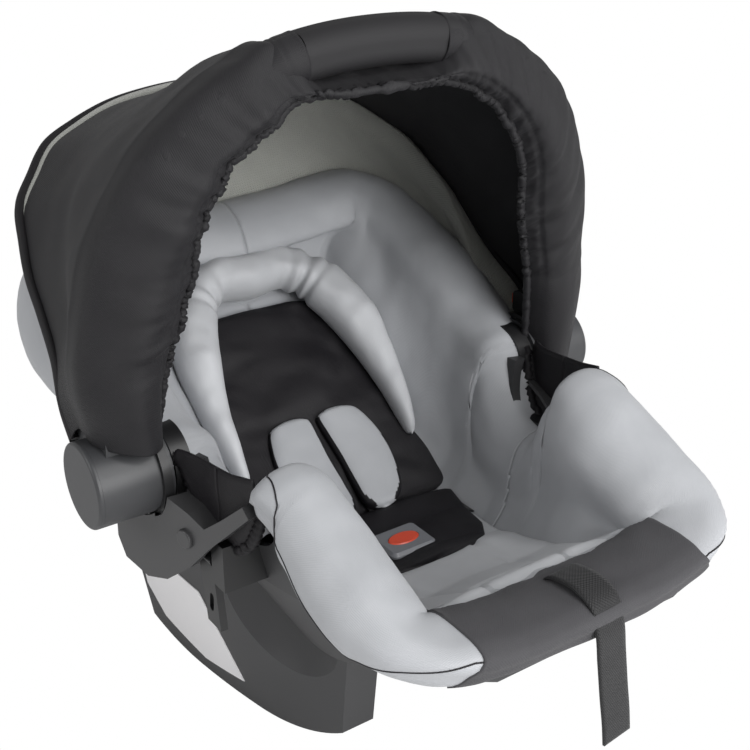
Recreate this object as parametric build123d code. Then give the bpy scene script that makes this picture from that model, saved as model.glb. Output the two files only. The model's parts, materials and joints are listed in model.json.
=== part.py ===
"""Infant car seat of the carrier kind: rocker base, moulded bucket, swinging handle with canopy,
fabric cover, harness and two stroller latches.

Frame: +Z up, X across the seat, the foot end at -Y and the head end at +Y.
All sizes are millimetres. Shapes are drawn about the handle axis (Y = 0) and every node is then
moved by FRAME_Y, which puts the origin under the middle of the whole seat, on the ground.
"""
from build123d import *
import math
import os

os.makedirs("parts", exist_ok=True)

# ---------------------------------------------------------------- driving dimensions
FRAME_Y = 22.0            # from the handle axis to the middle of the seat's length
HUB_Z = 264.0             # handle axis above the ground
CLEAR = 0.3               # gap kept between soft pieces and what carries them
RUN = 0.3                 # gap kept round pieces that slide or turn past each other
PIN_RUN = 0.06            # radial clearance of a pin in its hole

WALL = 4.0                # bucket wall
COVER = 8.0               # padded cover outside the bucket
PAD = 14.0                # padded cover inside the bucket
BOLSTER = 22.0            # extra width of the padded rim towards the child
SKIRT = 34.0              # how far the cover hangs outside the rim
ROLL = 13.0               # how far the padded rim stands above the bucket's rim

# bucket stations: distance along the seat, half width at the rim, rim height,
# half width of the floor, floor height
BUCKET = [
    (-284.0, 100.0, 220.0, 80.0, 206.0),
    (-240.0, 134.0, 246.0, 94.0, 217.0),
    (-184.0, 147.0, 269.0, 98.0, 167.0),
    (-128.0, 150.0, 289.0, 98.0, 132.0),
    (-62.0, 155.0, 282.0, 94.0, 120.0),
    (0.0, 162.0, 276.0, 94.0, 138.0),
    (70.0, 170.0, 308.0, 98.0, 192.0),
    (136.0, 168.0, 340.0, 100.0, 248.0),
    (190.0, 148.0, 367.0, 96.0, 294.0),
    (222.0, 116.0, 372.0, 84.0, 332.0),
]

NOTCH_Y = -78.0           # belt notch in the rim: middle, half width and lowest point
NOTCH_HALF = 44.0
NOTCH_Z = 226.0

# rocker base
SKID_FLAT = (0.0, 80.0)   # flat stretch the seat stands on
SKID_FRONT = (-100.0, 32.0)
SKID_REAR = (160.0, 12.0)
SKID_WIDTH = 30.0
SKID_WALL = 3.0
SCOOP = (175.0, -83.0, 127.0)   # middle of the round hollow pressed into each flank
SCOOP_R = 90.0
LABEL_T = 0.8

# handle
HUB_R = 33.0
HUB_IN = 172.0            # inner end of the hub barrel, measured across the seat
HUB_OUT = 233.0
HANDLE_TILT = 7.0         # carrying position leans to the foot end
HANDLE_REACH = 298.0      # hub axis to the middle of the grip
ARM_X = 206.0
TUBE_W = 26.0             # handle section along the seat
TUBE_T = 18.0             # handle section across the seat
GRIP_D = 34.0
GRIP_HALF = 66.0
PIVOT_R = 7.0

# canopy bow
BOW_TILT = 50.0
BOW_REACH = 335.0
BOW_HALF = 218.0
BOW_WIRE = 3.0
FABRIC = 3.0

# harness
STRAP_W = 28.0
STRAP_T = 1.6
HARNESS_X = 22.0
HARNESS_ROWS = (54.0, 84.0, 114.0)
HARNESS_ROW = 84.0        # the row the shoulder straps are threaded through
CROTCH_Y = -74.0
ADJUSTER_Y = -253.0
INSERT = (170.0, 0.78)    # plane of the insert the child's back lies on: height at Y = 0, slope
SEAT_LINE = [(-232, 233), (-200, 203), (-160, 178), (-114, 166), (-96, 159), (-50, 155), (-13, 160)]


# ---------------------------------------------------------------- helpers
NODES = {}


def keep(name, shape):
    """Remember a finished node and write its file."""
    shift = Location((0, FRAME_Y, 0))
    if isinstance(shape, (list, ShapeList)):
        moved = Compound(children=[piece.moved(shift) for piece in shape])
    else:
        moved = shape.moved(shift)
    NODES[name] = moved
    export_step(moved, f"parts/{name}.step")


def mirrored(shape):
    """The same piece on the other side of the seat."""
    return shape.mirror(Plane.YZ)


def both(name, shape):
    """Keep a piece drawn on the +X side and its mirror image."""
    keep(f"{name}_right", shape)
    keep(f"{name}_left", mirrored(shape))


def lerp(table, y, column):
    """A column of a station table, read between its rows."""
    for low, high in zip(table[:-1], table[1:]):
        if y <= high[0]:
            break
    share = (y - low[0]) / (high[0] - low[0])
    return low[column] + (high[column] - low[column]) * share


def bucket_face(y, rim, rim_z, floor, floor_z, grow=0.0, top=0.0, narrow=0.0):
    """Cross section of the bucket: sloping sides and a flat floor.
    grow moves the sides and floor outwards, top lifts the rim, narrow draws the sides in."""
    mid = floor + (rim - floor) * 0.62
    mid_z = floor_z + (rim_z - floor_z) * 0.42
    mid_x = mid + grow - narrow * 0.6
    half = [
        (min(floor + grow * 0.4, mid_x - 1.0), floor_z - grow),
        (mid_x, max(mid_z - grow * 0.5, floor_z - grow + 2.0)),
        (rim + grow - narrow, rim_z + top),
    ]
    outline = [(-x, z) for x, z in reversed(half)] + half
    with BuildSketch(Plane.XZ.offset(-y)) as sketch:
        with BuildLine():
            Polyline(*outline, close=True)
        make_face()
    return sketch.sketch


def bucket_loft(grow=0.0, top=0.0, ends=0.0, narrow=0.0):
    """Solid inside the bucket's outline, larger or smaller by grow; ends moves its two end
    sections along the seat."""
    faces = []
    for index, row in enumerate(BUCKET):
        y = row[0]
        if index == 0:
            y -= ends
        if index == len(BUCKET) - 1:
            y += ends
        faces.append(bucket_face(y, *row[1:], grow=grow, top=top, narrow=narrow))
    return loft(faces)


def block(x0, x1, y0, y1, z0, z1):
    """Axis-aligned box from its limits."""
    return Pos((x0 + x1) / 2, (y0 + y1) / 2, (z0 + z1) / 2) * Box(x1 - x0, y1 - y0, z1 - z0)


def side_prism(outline, x0, x1):
    """Closed side-view outline, given as (y, z) points, pulled across the seat."""
    with BuildSketch(Plane.YZ.offset(x0)) as sketch:
        with BuildLine():
            Polyline(*outline, close=True)
        make_face()
    return extrude(sketch.sketch, x1 - x0)


def front_prism(outline, y0, y1):
    """Closed front-view outline, given as (x, z) points, pulled along the seat."""
    with BuildSketch(Plane.XZ.offset(-y1)) as sketch:
        with BuildLine():
            Polyline(*outline, close=True)
        make_face()
    return extrude(sketch.sketch, y1 - y0)


def band(path, thick):
    """Outline of a strip of constant thickness that follows a path, with mitred corners."""
    left = []
    right = []
    for index, here in enumerate(path):
        before = path[max(index - 1, 0)]
        after = path[min(index + 1, len(path) - 1)]
        normals = []
        for a, b in ((before, here), (here, after)):
            length = math.hypot(b[0] - a[0], b[1] - a[1])
            if length:
                normals.append((-(b[1] - a[1]) / length, (b[0] - a[0]) / length))
        first, last = normals[0], normals[-1]
        share = thick / 2 / (1 + first[0] * last[0] + first[1] * last[1])
        shift = ((first[0] + last[0]) * share, (first[1] + last[1]) * share)
        left.append((here[0] + shift[0], here[1] + shift[1]))
        right.append((here[0] - shift[0], here[1] - shift[1]))
    return left + right[::-1]


def arch_plane(tilt):
    """Plane through the handle axis, leaning towards the head end by tilt degrees."""
    turn = math.radians(tilt)
    return Plane(origin=(0, 0, HUB_Z), x_dir=(1, 0, 0), z_dir=(0, -math.cos(turn), math.sin(turn)))


def arch_points(half, inset=0.0):
    """Full arch from the points of its +X half, drawn inwards by inset."""
    points = []
    for x, up in half:
        reach = math.hypot(x, up - 110.0)
        points.append((x - inset * x / reach, up - inset * (up - 110.0) / reach))
    return points + [(-x, up) for x, up in points[-2::-1]]


def arch_face(tilt, half, inset=0.0):
    """Face under an arch in a plane through the handle axis."""
    points = arch_points(half, inset)
    with BuildSketch(arch_plane(tilt)) as sketch:
        with BuildLine():
            Spline(*points)
            if inset > 0:
                low = [(points[-1][0], points[-1][1] - 30), (points[0][0], points[0][1] - 30)]
                Polyline(points[-1], *low, points[0])
            else:
                Line(points[-1], points[0])
        make_face()
    return sketch.sketch


def arch_edge(half, shift):
    """The arch through the half's points, moved outwards by shift."""
    points = arch_points(half)
    moved = []
    for index, (x, up) in enumerate(points):
        before = points[max(index - 1, 0)]
        after = points[min(index + 1, len(points) - 1)]
        length = math.hypot(after[0] - before[0], after[1] - before[1])
        moved.append((x + shift * (after[1] - before[1]) / length, up - shift * (after[0] - before[0]) / length))
    first = points[0][0] + shift
    moved[0] = (first, moved[0][1])
    moved[1] = (first, moved[1][1])
    moved[-1] = (-first, moved[-1][1])
    moved[-2] = (-first, moved[-2][1])
    return moved


def arch_bar(tilt, half, inner, outer, width, soften):
    """Bar along an arch whose two ends are straight: inner and outer are its reach either side
    of the arch, width its size along the seat, soften the radius of its long edges."""
    with BuildSketch(arch_plane(tilt)) as sketch:
        with BuildLine():
            far = arch_edge(half, outer)
            near = arch_edge(half, -inner)
            for points in (far, near):
                Line(points[0], points[1])
                Spline(*points[1:-1], tangents=((0, 1), (0, -1)))
                Line(points[-2], points[-1])
            Line(far[0], near[0])
            Line(far[-1], near[-1])
        make_face()
    bar = extrude(sketch.sketch, width / 2, both=True)
    if soften:
        ends = inner + outer + 0.5
        bar = fillet(bar.edges().filter_by(lambda edge: edge.length > max(ends, width + 0.5)), soften)
    return bar


def rod_x(radius, x0, x1, y=0.0, z=HUB_Z):
    """Round bar along X."""
    return Pos((x0 + x1) / 2, y, z) * Rot(0, 90, 0) * Cylinder(radius, x1 - x0)



def floor_z(y, lift=0.0):
    """Height of the bucket's floor, raised by lift."""
    return lerp(BUCKET, y, 4) + lift


# ---------------------------------------------------------------- bucket
def belt_notch(half, reach=240.0):
    """The U-shaped cut in both rims that the lap belt passes through."""
    bottom = NOTCH_Z + NOTCH_HALF
    round_end = Pos(0, NOTCH_Y, bottom) * Rot(0, 90, 0) * Cylinder(half, 2 * reach)
    return round_end + block(-reach, reach, NOTCH_Y - half, NOTCH_Y + half, bottom, 360)


def back_slot(y, x, wide, high):
    """Slot through the sloping back of the bucket."""
    slope = math.degrees(math.atan2(floor_z(136) - floor_z(70), 136 - 70))
    return Pos(x, y, floor_z(y)) * Rot(slope, 0, 0) * Box(wide, high, 60)


outer = bucket_loft()
hollow = bucket_loft(grow=-WALL, top=30.0, ends=-WALL)
shell = outer - hollow - belt_notch(NOTCH_HALF)
for slot_y in HARNESS_ROWS:
    for side in (-1, 1):
        shell -= back_slot(slot_y, side * HARNESS_X, STRAP_W + 8, 7)
crotch_slot = block(-17, 17, CROTCH_Y - 4, CROTCH_Y + 4, 60, 260)
shell -= crotch_slot
shell -= block(-20.4, 20.4, ADJUSTER_Y - 9.4, ADJUSTER_Y + 18.4, 170, 235)
for rib_x in (-44, 44):
    rib = block(rib_x - 1.5, rib_x + 1.5, -222, 205, 90, 400)
    shell += rib & (bucket_loft(grow=9.0) - outer)
keep("seat_shell", shell)


# ---------------------------------------------------------------- rocker base, one half per side
def flank_x(y, z):
    """Outer face of the base: leans out with height and tapers to the foot end."""
    return 105.0 + 0.23 * z + 0.16 * (y - 43.0) - 0.0006 * (y - 43.0) ** 2


def flank_envelope(inset):
    """Everything between the middle plane and the outer face, less inset."""
    faces = []
    for y in (-150.0, -100.0, -50.0, 0.0, 60.0, 120.0, 180.0):
        with BuildSketch(Plane.XZ.offset(-y)) as sketch:
            with BuildLine():
                Polyline(
                    (0, -20),
                    (flank_x(y, -20) - inset, -20),
                    (flank_x(y, 280) - inset, 280),
                    (0, 280),
                    close=True,
                )
            make_face()
        faces.append(sketch.sketch)
    return loft(faces)


def base_side(inset):
    """Side view of the base with its rocker underside, drawn inset from the outline."""
    front_y, front_z = SKID_FRONT
    rear_y, rear_z = SKID_REAR
    with BuildSketch(Plane.YZ) as sketch:
        with BuildLine():
            a = Line((SKID_FLAT[0], 0), (SKID_FLAT[1], 0))
            b = TangentArc(a @ 1, (rear_y, rear_z), tangent=(1, 0))
            c = Line(b @ 1, (146, 79))
            d = Line(c @ 1, (126, 165))
            e = Polyline(d @ 1, (168, 262), (120, 250), (60, 200), (0, 168), (-134, 152))
            f = Line(e @ 1, (front_y, front_z))
            TangentArc(a @ 0, f @ 1, tangent=(-1, 0))
        make_face()
        if inset:
            offset(amount=-inset, kind=Kind.INTERSECTION, mode=Mode.REPLACE)
    return extrude(sketch.sketch, 220)


under_bucket = bucket_loft(grow=CLEAR, top=40.0, ends=CLEAR)
scoop_at = Pos(*SCOOP)
base = (base_side(0) & flank_envelope(0)) - flank_envelope(SKID_WIDTH)
cavity = (base_side(SKID_WALL) & flank_envelope(SKID_WALL)) - scoop_at * Sphere(SCOOP_R + SKID_WALL)
web = None
for rib_y in (-62, -20, 22, 64, 106):
    rib = base & block(0, 200, rib_y - 1.25, rib_y + 1.25, -5, 300)
    web = rib if web is None else web + rib
base = (base - cavity) + web - under_bucket - scoop_at * Sphere(SCOOP_R)
base -= rod_x(HUB_R + 2, 100, 240)
keep("base_right", base)
keep("base_left", mirrored(base))

# plain white plate on each flank
label_outline = [(10, 24), (66, 17), (124, 32), (141, 62), (128, 108), (98, 124), (36, 112)]
label = (flank_envelope(-LABEL_T - 0.1) - flank_envelope(-0.1)) & side_prism(label_outline, 60, 200)
keep("side_labels", [label, mirrored(label)])


# ---------------------------------------------------------------- belt guide wings
WING_X = 193.0            # outer face of the wing at the handle axis
WING_T = 24.0
WING_TURN = 12.5          # the wing turns inwards towards the foot end
wing_outline = [
    (25, 236), (26, 198), (18, 182), (-8, 176), (-32, 184), (-59, 206), (-84, 233), (-127, 275),
    (-121, 282), (-98, 262), (-79, 247), (-62, 253), (-36, 258), (-20, 270), (10, 262),
]
wing_inner = [
    (22.5, 240), (22.5, 199), (15.5, 185.5), (-8, 179.8), (-30, 187), (-56.5, 208.7), (-81.5, 235.5),
    (-100, 254), (-96, 257), (-79, 243), (-63, 249.2), (-36, 254), (-20, 266), (10, 258),
]
wing_at = Pos(WING_X, 0, 0) * Rot(0, 0, -WING_TURN) * Pos(-WING_X, 0, 0)
wing = side_prism(wing_outline, WING_X - WING_T, WING_X)
wing -= side_prism(wing_inner, WING_X - WING_T - 1, WING_X - 3)
bead = side_prism(wing_outline, WING_X - 8, WING_X - 6.5)
wing = wing_at * wing
wing -= bucket_loft(grow=COVER + 1.0, top=ROLL + 8, ends=COVER)
wing -= rod_x(HUB_R + 1.5, 140, 240)
wing -= rod_x(HUB_R + 6.0, 140, HUB_IN + 16)
wing -= block(120, 172, -92, -26, 140, 240)
for post_y, post_z, post_x in ((-60, 222, 168.0), (8, 194, 120.0)):
    post_end = WING_X - 2.0 + post_y * math.tan(math.radians(WING_TURN))
    wing += rod_x(5.5, post_x, post_end, y=post_y, z=post_z) - outer
both("belt_guide", wing)
boss = wing_at * (rod_x(7.5, WING_X + 0.02, WING_X + 3, y=-58, z=231))
boss = fillet(boss.edges().sort_by(Axis.X)[-1:], 1.2)
keep("guide_bosses", [boss, mirrored(boss)])


# ---------------------------------------------------------------- stroller latches under the wings
LATCH_X = 161.0
LATCH_Z = 210.0
LATCH_PIN = 2.5
latch_box = block(130, 168, -88, -30, 196, 234) - outer
latch_box = latch_box - block(152, 170, -70, -34, 190, 222)
latch_pin_hole = Pos(LATCH_X, -52, LATCH_Z) * Rot(90, 0, 0) * Cylinder(LATCH_PIN + 0.05, 60)
latch_pin = Pos(LATCH_X, -52, LATCH_Z) * Rot(90, 0, 0) * Cylinder(LATCH_PIN, 50)
both("latch_bracket", latch_box - latch_pin_hole)
lever = side_prism([(-40, 210), (-62, 210), (-70, 150), (-50, 150)], LATCH_X - 3, LATCH_X + 3)
lever += Pos(LATCH_X, -52, LATCH_Z) * Rot(90, 0, 0) * Cylinder(6, 26)
lever -= Pos(LATCH_X, -52, LATCH_Z) * Rot(90, 0, 0) * Cylinder(LATCH_PIN + PIN_RUN, 60)
lever -= Pos(LATCH_X, -58, 170) * Rot(0, 90, 0) * Rot(0, 0, 8) * extrude(SlotOverall(16, 6), 5, both=True)
both("latch_lever", lever)
keep("latch_pins", [latch_pin, mirrored(latch_pin)])


# ---------------------------------------------------------------- handle hubs
SPLINES = 12
RING_R = 27.0             # inside of the hub cup
GEAR_R = 19.0
TOOTH_R = 23.0
TOOTH_W = 4.4


def toothed(radius, tip, width, x0, x1):
    """Round bar with splines."""
    bar = rod_x(radius, x0, x1)
    for index in range(SPLINES):
        tooth = block(x0, x1, -width / 2, width / 2, 0, tip)
        bar += Pos(0, 0, HUB_Z) * Rot(360 / SPLINES * index, 0, 0) * tooth
    return bar


spline_hole = toothed(GEAR_R + 0.4, TOOTH_R + 0.4, TOOTH_W + 0.6, 160, 204)
plate = (rod_x(31, 158, HUB_IN) + rod_x(25, HUB_IN - 1, HUB_IN + 8)) - outer
plate -= rod_x(PIVOT_R + 0.05, 150, 200)
plate -= spline_hole & block(HUB_IN - 4, HUB_IN + 10, -40, 40, 200, 320)
both("hub_plate", plate)

bolt = rod_x(PIVOT_R, 163, 207) + rod_x(12, 206.4, 212)
bolt -= rod_x(3.5, 209, 213)
keep("pivot_bolts", [bolt, mirrored(bolt)])

hub = rod_x(HUB_R, HUB_IN + 2, HUB_OUT - 4)
hub -= rod_x(RING_R, HUB_IN, 183)
hub -= spline_hole & block(182, 200, -40, 40, 200, 320)
hub -= rod_x(RING_R, 206, HUB_OUT)
hub -= rod_x(PIVOT_R + PIN_RUN, 190, 210)
neck_at = arch_plane(-HANDLE_TILT).location
neck = neck_at * Pos(ARM_X, 49, 0) * Box(TUBE_T + 8, 44, TUBE_W + 4)
house = block(199, 221, 2, 31, 284, 310)
house = fillet(house.edges().filter_by(Axis.X).group_by(Axis.Y)[-1], 4)
hub += (neck + house) - rod_x(HUB_R - 0.5, 150, 240)
hub -= neck_at * Pos(ARM_X, 90, 0) * Box(TUBE_T + 0.1, 80, TUBE_W + 0.1)
hub -= block(201.7, 218.3, 12, 40, 288.7, 305.3)
both("handle_hub", hub)

cap = rod_x(HUB_R, HUB_OUT - 3.9, HUB_OUT)
cap = fillet(cap.edges().filter_by(GeomType.CIRCLE).sort_by(Axis.X)[-1:], 2.5)
cap += rod_x(RING_R - 0.1, HUB_OUT - 9, HUB_OUT - 3.8) - rod_x(RING_R - 3, HUB_OUT - 10, HUB_OUT - 3.9)
both("hub_cap", cap)

gear = toothed(GEAR_R, TOOTH_R, TOOTH_W, 184, 196) - rod_x(PIVOT_R + PIN_RUN, 180, 200)
both("lock_gear", gear)

button = block(202, 218, 20, 37, 289, 305)
button = fillet(button.edges().group_by(Axis.Y)[-1], 2.5)
both("release_button", button)


# ---------------------------------------------------------------- handle arch and grip
handle_half = [
    (ARM_X, 50), (ARM_X, 92), (200, 160), (181, 215), (140, 262), (80, 289), (0, HANDLE_REACH),
]
tube = arch_bar(-HANDLE_TILT, handle_half, TUBE_T / 2, TUBE_T / 2, TUBE_W, 6)
keep("handle_tube", tube)
grip_r = GRIP_D / 2
grip = arch_bar(-HANDLE_TILT, handle_half, grip_r, grip_r, GRIP_D, 0)
grip &= block(-GRIP_HALF, GRIP_HALF, -200, 200, 400, 700)
grip = fillet(grip.edges().filter_by(lambda edge: edge.length > 100), grip_r - 3)
grip -= arch_bar(-HANDLE_TILT, handle_half, TUBE_T / 2 + 0.1, TUBE_T / 2 + 0.1, TUBE_W + 0.2, 6)
keep("handle_grip", grip)


# ---------------------------------------------------------------- canopy
dome_rows = [
    (3, [(224, 62), (226, 92), (217, 155), (197, 210), (158, 262), (96, 294), (0, 303)]),
    (20, [(221, 57), (222, 100), (215, 165), (200, 218), (163, 274), (98, 313), (0, 324)]),
    (36, [(219, 60), (220, 105), (213, 180), (198, 232), (158, 288), (94, 323), (0, 334)]),
    (51, [(218, 60), (217, 112), (211, 193), (194, 247), (151, 300), (86, 331), (0, 341)]),
]
dome = loft([arch_face(tilt, half) for tilt, half in dome_rows])
dome_tilts = [tilt for tilt, half in dome_rows]
dome_tilts[0] -= 2
dome_tilts[-1] += 2
void = loft([arch_face(tilt, half, FABRIC) for tilt, (_, half) in zip(dome_tilts, dome_rows)])
canopy = dome - void
keep("canopy_fabric", canopy)

# sleeve that ties the front edge of the canopy round the two handle arms
sleeve = arch_bar(-HANDLE_TILT, handle_half, TUBE_T / 2 + 24, TUBE_T / 2 + 5, TUBE_W + 12, 8)
sleeve -= arch_bar(-HANDLE_TILT, handle_half, TUBE_T / 2 + 0.3, TUBE_T / 2 + 0.3, TUBE_W + 0.6, 6)
sleeve -= block(-GRIP_HALF - 1, GRIP_HALF + 1, -200, 200, 200, 700)
sleeve -= block(-300, 300, -200, 200, 200, HUB_Z + 84)
sleeve -= loft([arch_face(tilt, half, -1.0) for tilt, half in dome_rows])
keep("canopy_sleeve", sleeve)

bow_half = [(181, 37), (181, 64), (192, 104), (202, 170), (184.5, 242), (144.5, 290), (83, 320.5), (0, 330.5)]
keep("canopy_bow", arch_bar(BOW_TILT, bow_half, BOW_WIRE, BOW_WIRE, 2 * BOW_WIRE, 1.2))
tab = rod_x(HUB_R + 4, 177.5, 184.5)
tab += arch_plane(BOW_TILT).location * Pos(181, 46, 0) * Box(7, 30, 11)
tab -= rod_x(HUB_R + PIN_RUN, 170, 190)
tab -= arch_plane(BOW_TILT).location * Pos(181, 60, 0) * Box(2 * BOW_WIRE + 0.1, 46.2, 2 * BOW_WIRE + 0.1)
both("bow_tab", tab)

over_bow = arch_edge(bow_half, BOW_WIRE + CLEAR + FABRIC)[1:len(bow_half)]
panel_rows = [
    (49.0, over_bow),
    (51.6, over_bow),
    (60.5, [(194, 70), (194, 120), (190, 172), (176, 228), (132, 262), (72, 264), (0, 262)]),
]
panel = loft([arch_face(tilt, half) for tilt, half in panel_rows], ruled=True)
panel_void = [(48.0, over_bow), (51.8, over_bow), (61.0, panel_rows[2][1])]
panel -= loft([arch_face(tilt, half, FABRIC) for tilt, half in panel_void], ruled=True)
panel -= rod_x(76, -240, 240)
panel -= arch_bar(BOW_TILT, bow_half, BOW_WIRE + CLEAR, BOW_WIRE + CLEAR, 2 * (BOW_WIRE + CLEAR), 0)
panel -= loft([arch_face(tilt, half, -CLEAR) for tilt, half in dome_rows]) - loft([
    arch_face(tilt, half, FABRIC + CLEAR) for tilt, (_, half) in zip(dome_tilts, dome_rows)
])
keep("canopy_back_panel", panel.solids().sort_by(SortBy.VOLUME)[-1])


# ---------------------------------------------------------------- padded cover
reach = 330.0
below_rim = None
faces = []
for row in BUCKET:
    y = row[0]
    if row is BUCKET[0]:
        y = -reach
    if row is BUCKET[-1]:
        y = reach
    with BuildSketch(Plane.XZ.offset(-y)) as sketch:
        with Locations((0, (row[2] - SKIRT) / 2)):
            Rectangle(520, row[2] - SKIRT)
    faces.append(sketch.sketch)
below_rim = loft(faces, ruled=True) - bucket_loft(grow=CLEAR, top=60, ends=CLEAR)
shell_space = bucket_loft(grow=CLEAR, top=CLEAR, ends=CLEAR)
shell_space -= bucket_loft(grow=-(WALL + CLEAR), top=40, ends=-(WALL + CLEAR))
lining_void = bucket_loft(grow=-(WALL + PAD), top=70, ends=-(WALL + PAD), narrow=BOLSTER)
cover = bucket_loft(grow=COVER, top=ROLL, ends=COVER) - lining_void - shell_space - below_rim
cover -= belt_notch(NOTCH_HALF - 2)
for side in (-1, 1):
    cover -= rod_x(HUB_R + 0.5, 157.5, 240) if side > 0 else rod_x(HUB_R + 0.5, -240, -157.5)
    for slot_y in HARNESS_ROWS:
        cover -= back_slot(slot_y, side * HARNESS_X, STRAP_W + 6, 6)
cover -= crotch_slot
cover -= block(-21, 21, ADJUSTER_Y - 10, ADJUSTER_Y + 19, 150, 226)
patch_line = [
    (-292, 208), (-284.6, 208), (-284.4, 208.5), (-262, 214.5), (-240, 218.8), (-236, 216.5),
    (-236, 238), (-286, 237), (-292, 232),
]
patch = side_prism(patch_line, -104, 104) - shell_space - shell
patch -= block(-21, 21, ADJUSTER_Y - 10, ADJUSTER_Y + 19, 150, 226)
patch -= block(-17, 17, ADJUSTER_Y - 4, ADJUSTER_Y + 4, 150, 260)
patch = patch.solids().sort_by(SortBy.VOLUME)[-1]
keep("foot_patch", patch)
cover -= block(-106 - CLEAR, 106 + CLEAR, -310, -236 + CLEAR, 150, 300)
keep("seat_cover_seat", cover - block(-260, 260, NOTCH_Y - CLEAR / 2, 340, 50, 460) - shell)
keep("seat_cover_head", cover - block(-260, 260, -340, NOTCH_Y + CLEAR / 2, 50, 460))

stud = rod_x(7, 150, 159.5, y=-128, z=284) - bucket_loft(grow=COVER + CLEAR, top=ROLL, ends=COVER)
keep("cover_studs", [stud, mirrored(stud)])


# ---------------------------------------------------------------- cushions on the lining
room = bucket_loft(grow=-(WALL + PAD + CLEAR), top=60, ends=-(WALL + PAD + CLEAR), narrow=BOLSTER)


def insert_z(y, lift=0.0):
    """Height of the insert the child's back lies on."""
    return INSERT[0] + INSERT[1] * y + lift


def sloping_slab(y0, y1, low, high, half):
    """Slab parallel to the insert between two lifts from its plane."""
    outline = [(y0, insert_z(y0, low)), (y1, insert_z(y1, low)), (y1, insert_z(y1, high)), (y0, insert_z(y0, high))]
    return side_prism(outline, -half, half)


def plan_cut(points):
    """Upright prism over a plan outline."""
    with BuildSketch(Plane.XY) as sketch:
        with BuildLine():
            Spline(*points)
            Line(points[-1], points[0])
        make_face()
    return extrude(sketch.sketch, 520)


strap_slot = None
for side in (-1, 1):
    slot = back_slot(HARNESS_ROW, side * HARNESS_X, STRAP_W + 6, 6)
    strap_slot = slot if strap_slot is None else strap_slot + slot
insert_back = room & sloping_slab(-13, 152, -60, 0, 76)
keep("insert_back", insert_back - strap_slot)

cushion_top = [(y, z - 5.3) for y, z in SEAT_LINE]
cushion = room & side_prism([(-232, 60)] + cushion_top + [(-13.3, 60)], -140, 140)
cushion -= crotch_slot
keep("seat_cushion", cushion)
pad_line = [(y, z) for y, z in SEAT_LINE if y > -115]
insert_seat = side_prism([(y, z - 5.0) for y, z in pad_line][::-1] + pad_line, -56, 56)
insert_seat -= crotch_slot
keep("insert_seat", insert_seat & room)

hug_out = [(76, 26), (92, 64), (95, 106), (88, 168), (62, 184), (0, 189)]
hug_in = [(59, 34), (52, 64), (50, 99), (54, 134), (38, 146), (0, 149)]
hug_plan = plan_cut(hug_out + [(-x, y) for x, y in hug_out[-2::-1]])
hug_plan -= plan_cut([(hug_in[0][0], -40)] + hug_in + [(-x, y) for x, y in hug_in[-2::-1]] + [(-hug_in[0][0], -40)])
hugger = room & hug_plan & sloping_slab(20, 200, 0.3, 25, 120)
keep("head_hugger", hugger)


# ---------------------------------------------------------------- harness
strap_line = [(96, 189.5), (HARNESS_ROW, floor_z(HARNESS_ROW)), (65.9, 225.5), (-22, 166.7)]
strap_run = [(18, 132.3), (84, 184)] + strap_line + [(-34, 168.2), (-40.1, 167.5), (-40.1, 162.2)]
shoulder_strap = side_prism(band(strap_run, STRAP_T), HARNESS_X - STRAP_W / 2, HARNESS_X + STRAP_W / 2)
both("shoulder_strap", shoulder_strap)
pad_axis = [(59, 220.9), (-13, 172.7)]
pad_high = [(y - 0.8, z + 1.2) for y, z in pad_axis]
pad = side_prism(band(pad_high, 9.5), HARNESS_X - 17, HARNESS_X + 21)
pad = fillet(pad.edges().filter_by(lambda edge: edge.length > 60), 3)
pad = pad - side_prism(band([(70, 228.3), (-24, 165.3)], STRAP_T + 0.8), HARNESS_X - 14.6, HARNESS_X + 14.6)
both("shoulder_pad", pad)

hip_line = [(8, 160.6), (52, 160.6), (78, 164), (88, 172)]
hip_strap = front_prism(band(hip_line, STRAP_T), -55, -55 + STRAP_W)
both("hip_strap", hip_strap & room)

crotch_path = [(CROTCH_Y, 115.6), (CROTCH_Y, 161.2)]
keep("crotch_strap", side_prism(band(crotch_path, STRAP_T), -STRAP_W / 2, STRAP_W / 2))
keep("strap_anchor", Pos(0, CROTCH_Y, 114) * Box(44, 14, 2.4))
splitter = Pos(0, 26, 134.6) * Rot(38, 0, 0) * extrude(RectangleRounded(84, 16, 4), 2)
keep("splitter_plate", splitter)

# buckle
BUCKLE_Y = (-94.0, -56.0)
BUTTON_TRAVEL = 0.0025
body = block(-23, 23, BUCKLE_Y[0], BUCKLE_Y[1], 160, 168)
body = fillet(body.edges().filter_by(Axis.Z), 6)
body -= block(-21, 21, -78, -50, 162.6, 166)
body -= block(-15, 15, -84, -66, 162.6, 170)
body -= block(-STRAP_W / 2 - 0.5, STRAP_W / 2 + 0.5, CROTCH_Y - 2, CROTCH_Y + 2, 155, 161.5)
keep("buckle_body", body)
face = block(-22, 22, BUCKLE_Y[0] + 1, BUCKLE_Y[1] - 1, 168, 175)
face = fillet(face.edges().filter_by(Axis.Z), 6)
face = chamfer(face.faces().sort_by(Axis.Z)[-1].edges(), 2.5)
oval = extrude(Ellipse(14.3, 8.3), 30)
face -= Pos(0, -75, 160) * oval
keep("buckle_face", face)
push = Pos(0, -75, 170.4) * extrude(Ellipse(14, 8), 5.2)
push = chamfer(push.faces().sort_by(Axis.Z)[-1].edges(), 0.8)
keep("buckle_button", push)
spring = None
for turn in range(4):
    ring = Pos(0, -75, 163.3 + turn * 2.0) * Torus(2.6, 0.5)
    spring = ring if spring is None else spring + ring
for side in (-1, 1):
    spring += Pos(0, -75 + side * 2.6, 166.3) * Box(0.8, 0.8, 7.2)
keep("buckle_spring", spring)
tongue = block(4, 20.5, -76, -55, 163, 165.6) + block(4, 40, -56, -36, 163, 165.6)
tongue = fillet(tongue.edges().filter_by(Axis.Z).group_by(Axis.X)[-1], 5)
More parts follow.
